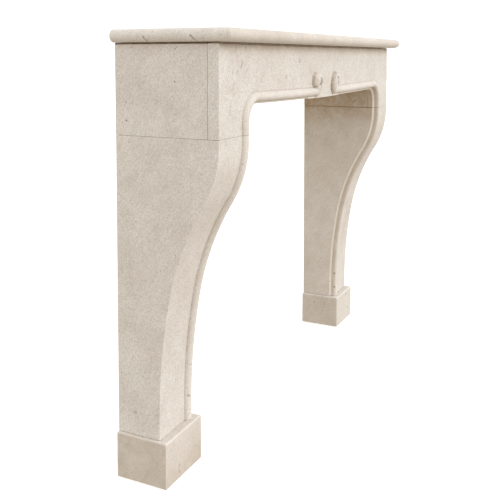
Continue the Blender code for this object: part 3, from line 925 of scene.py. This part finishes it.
def nick(start, end, radius, depth, count=5):
    """A scratch or a broken line, as a row of small marks that are finer at both ends."""
    row = []
    for step in range(count):
        share = step / (count - 1)
        size = 0.7 + 0.3 * math.sin(math.pi * share)
        centre = tuple(first + (second - first) * share for first, second in zip(start, end))
        row.append((centre, radius * size, depth * size))
    return row


def on_nose(y, z):
    """A point on the left end of the shelf's nose."""
    half_height = (SHELF_HIGH.z - SHELF_LOW.z) / 2
    rise = (z - SHELF_LOW.z) / half_height - 1.0
    return (NOSE_DEPTH * (1 - math.sqrt(1 - rise * rise)) - SHELF_HIGH.x, y, z)


def scroll_marks(side):
    """Sunk marks painted dark as shade in the hollow beside a scroll's knob and along the groove that
    curls round it.
    """
    x = side * (SCROLL_X + EYE_OFFSET)
    marks = [((x, FACE_Y - EYE_FLOOR, SCROLL_Z + EYE_RISE + rise), 0.0065, 0.0016)
             for rise in (-0.010, -0.004, 0.002, 0.008)]
    radius = SCROLL_RADIUS - FILLET_WIDTH / 2
    for turned in (0.35, 0.65, 0.95, 1.25, 1.55):
        sunk = FILLET_DEPTH * (1 - turned / GROOVE_SWEEP) ** GROOVE_FADE
        marks.append(((side * (SCROLL_X - radius * math.sin(turned)), FACE_Y + sunk,
                       SCROLL_Z - radius * math.cos(turned)), 0.0045, 0.0007))
    return marks


def on_plane(axis, level, *marks):
    """Marks on a face across X or Y, each given as its two places on the face, its radius and depth."""
    placed = []
    for first, second, radius, depth in marks:
        centre = (level, first, second) if axis == "X" else (first, level, second)
        placed.append((centre, radius, depth))
    return placed


# Chips, nicks and pits that show in the photograph, and painted shade in the scrolls' hollows, as (place,
# radius, depth)
SHELF_MARKS = (nick(on_nose(0.0676, 1.0803), on_nose(0.0597, 1.0698), 0.0030, 0.0020, 8)
               + nick(on_nose(-0.0594, 1.0828), on_nose(-0.0692, 1.0711), 0.0031, 0.0026, 8)
               + [(on_nose(-0.1352, 1.0827), 0.0024, 0.0009)])
# Painted shade in the scrolls' eyes and grooves
LINTEL_MARKS = scroll_marks(-1) + scroll_marks(1)
BLOCK_MARKS = {
    "left": on_plane("X", -OUTER_X,
                     (-0.0063, 1.0527, 0.0026, 0.0014), (-0.0105, 1.0566, 0.0020, 0.0010),
                     (-0.0044, 0.9768, 0.0030, 0.0018), (0.1323, 0.9252, 0.0026, 0.0014),
                     (0.1313, 0.8820, 0.0032, 0.0020), (0.1137, 1.0580, 0.0026, 0.0006),
                     (0.0746, 0.9875, 0.0050, 0.0004), (-0.0870, 0.9536, 0.0024, 0.0010)),
    "right": on_plane("X", INNER_X,
                      (-0.0406, 0.8726, 0.0045, 0.0018), (-0.0360, 0.8653, 0.0040, 0.0014),
                      (-0.0835, 0.8460, 0.0035, 0.0012))}
LEG_MARKS = {
    "left": (on_plane("X", -OUTER_X,
                      (0.1119, 0.1685, 0.0036, 0.0018), (0.1186, 0.1683, 0.0055, 0.0004),
                      (0.0735, 0.1685, 0.0028, 0.0006), (0.0469, 0.1726, 0.0036, 0.0005))
             + nick((-0.568, 0.0345, 0.1800), (-0.546, 0.0345, 0.1692), 0.0036, 0.0020, 7)
             + nick((-0.564, 0.0305, 0.2580), (-0.550, 0.0300, 0.2550), 0.0034, 0.0006)),
    "right": (on_plane("X", INNER_X + FILLET_WIDTH + 0.002,
                       (0.0381, 0.2007, 0.0050, 0.0024), (0.0381, 0.1477, 0.0050, 0.0022))
              + nick((INNER_X, 0.0700, 0.7560), (INNER_X, 0.0500, 0.7440), 0.0032, 0.0005))}
PLINTH_MARKS = {
    "left": (on_plane("X", -PLINTH_HIGH.x,
                      (0.1309, 0.0875, 0.0032, 0.0007), (0.1384, 0.0837, 0.0026, 0.0007),
                      (0.1206, 0.0866, 0.0026, 0.0006))
             + on_plane("Y", PLINTH_LOW.y,
                        (-0.628, 0.0331, 0.0035, 0.0014), (-0.627, 0.0147, 0.0028, 0.0012),
                        (-0.549, 0.0431, 0.0035, 0.0008))),
    "right": (on_plane("X", PLINTH_LOW.x,
                       (0.0797, 0.0575, 0.0040, 0.0010), (0.1129, 0.0841, 0.0040, 0.0010),
                       (0.0717, 0.0862, 0.0035, 0.0008))
              + on_plane("Y", PLINTH_LOW.y,
                         (0.624, 0.0980, 0.0060, 0.0012), (0.647, 0.0411, 0.0060, 0.0010)))}


def on_frieze(*lines):
    """Scratches on the face over the opening, each given as (x, z, end x, end z, radius, darkness)."""
    return [((x, FACE_Y, z), (end_x, FACE_Y, end_z), radius, darkness)
            for x, z, end_x, end_z, radius, darkness in lines]


# Scratches and dark specks that show in the photograph, and last a painted shadow down the right scroll's
# hollow
HOLLOW_Y = FACE_Y - 0.0125
FRIEZE_SCRATCHES_AND_SHADE = on_frieze((-0.561, 1.0230, -0.571, 1.0080, 0.0030, 0.75),
                             (-0.585, 1.0040, -0.590, 0.9990, 0.0025, 0.50),
                             (-0.614, 1.0010, -0.616, 0.9970, 0.0030, 0.40),
                             (-0.534, 1.0060, -0.537, 1.0010, 0.0035, 0.40),
                             (-0.608, 0.9720, -0.613, 0.9560, 0.0026, 0.40),
                             (-0.622, 0.9200, -0.630, 0.9000, 0.0028, 0.40),
                             (-0.298, 0.9830, -0.299, 0.9780, 0.0060, 0.50),
                             (-0.203, 1.0260, -0.205, 1.0200, 0.0065, 0.55),
                             (-0.300, 1.0620, -0.285, 1.0605, 0.0050, 0.45),
                             (-0.595, 1.0580, -0.598, 1.0470, 0.0045, 0.35),
                             (-0.545, 1.0580, -0.548, 1.0500, 0.0045, 0.30))
# A painted shadow line down the right scroll's hollow
FRIEZE_SCRATCHES_AND_SHADE.append(((0.0740, HOLLOW_Y, 0.9500), (0.0735, HOLLOW_Y, 0.9710), 0.0060, 0.90))


# The floor: far wider than the view, and white all the way to the horizon
FLOOR_SIZE = 60.0
FLOOR_COLOUR = (0.93, 0.93, 0.925, 1.0)
FLOOR_GLOW = 0.30


def make_floor():
    """A plain white floor, which lights nothing but itself."""
    bpy.ops.mesh.primitive_plane_add(size=FLOOR_SIZE, location=(0.0, 0.0, 0.0))
    floor = bpy.context.active_object
    floor.name = "floor"
    floor.visible_diffuse = False
    floor.visible_glossy = False
    material = bpy.data.materials.new("floor_white")
    material.use_nodes = True
    shader = material.node_tree.nodes["Principled BSDF"]
    shader.inputs["Base Color"].default_value = FLOOR_COLOUR
    shader.inputs["Roughness"].default_value = 0.9
    shader.inputs["Specular IOR Level"].default_value = 0.1
    shader.inputs["Emission Color"].default_value = (1.0, 1.0, 1.0, 1.0)
    shader.inputs["Emission Strength"].default_value = FLOOR_GLOW
    floor.data.materials.append(material)


# The studio: the light from above and from below, the tint from the left, and the lamp
SKY_STRENGTH = 1.175
SKY_COLOUR = (1.0, 1.0, 1.0)
GROUND_COLOUR = (0.54, 0.49, 0.425)
LEFT_TINT = (1.0, 0.985, 0.955)
LAMP_ENERGY = 0.95
LAMP_ANGLE = math.radians(24)
LAMP_AIM = (-0.36, 0.84, -0.40)


def make_light():
    """Soft light from above and all round, with a warm glow from below, and one wide soft lamp."""
    world = bpy.data.worlds.new("studio")
    bpy.context.scene.world = world
    world.use_nodes = True
    n = Nodes(world.node_tree)
    direction = n.add("ShaderNodeTexCoord").outputs["Generated"]
    parts = n.add("ShaderNodeSeparateXYZ", {0: direction}).outputs
    colour = n.mix(n.ramp(parts["Z"], -0.02, -0.25), SKY_COLOUR, GROUND_COLOUR)
    colour = n.mix(n.ramp(parts["X"], 0.10, -0.85), colour, LEFT_TINT, "MULTIPLY")
    background = world.node_tree.nodes["Background"]
    background.inputs["Strength"].default_value = SKY_STRENGTH
    world.node_tree.links.new(colour, background.inputs["Color"])

    lamp = bpy.data.lights.new("soft_sun", "SUN")
    lamp.angle = LAMP_ANGLE
    lamp.energy = LAMP_ENERGY
    thing = bpy.data.objects.new("soft_sun", lamp)
    bpy.context.scene.collection.objects.link(thing)
    thing.rotation_euler = Vector(LAMP_AIM).to_track_quat("-Z", "Y").to_euler()


def make_camera():
    """The camera that took the photograph, with the shift that its framing needs."""
    data = bpy.data.cameras.new("photo_camera")
    data.sensor_width = SENSOR
    data.lens = PHOTO_FOCAL / PHOTO_SIZE * SENSOR
    data.shift_y = (PHOTO_HORIZON_ROW - PHOTO_SIZE / 2) / PHOTO_SIZE
    camera = bpy.data.objects.new("photo_camera", data)
    camera.location = CAMERA_PLACE
    camera.rotation_euler = (math.pi / 2 + CAMERA_PITCH, 0.0, CAMERA_YAW)
    bpy.context.scene.collection.objects.link(camera)
    bpy.context.scene.camera = camera
    bpy.context.scene.view_settings.view_transform = "Standard"


make_blocks()
make_floor()
make_light()
make_camera()
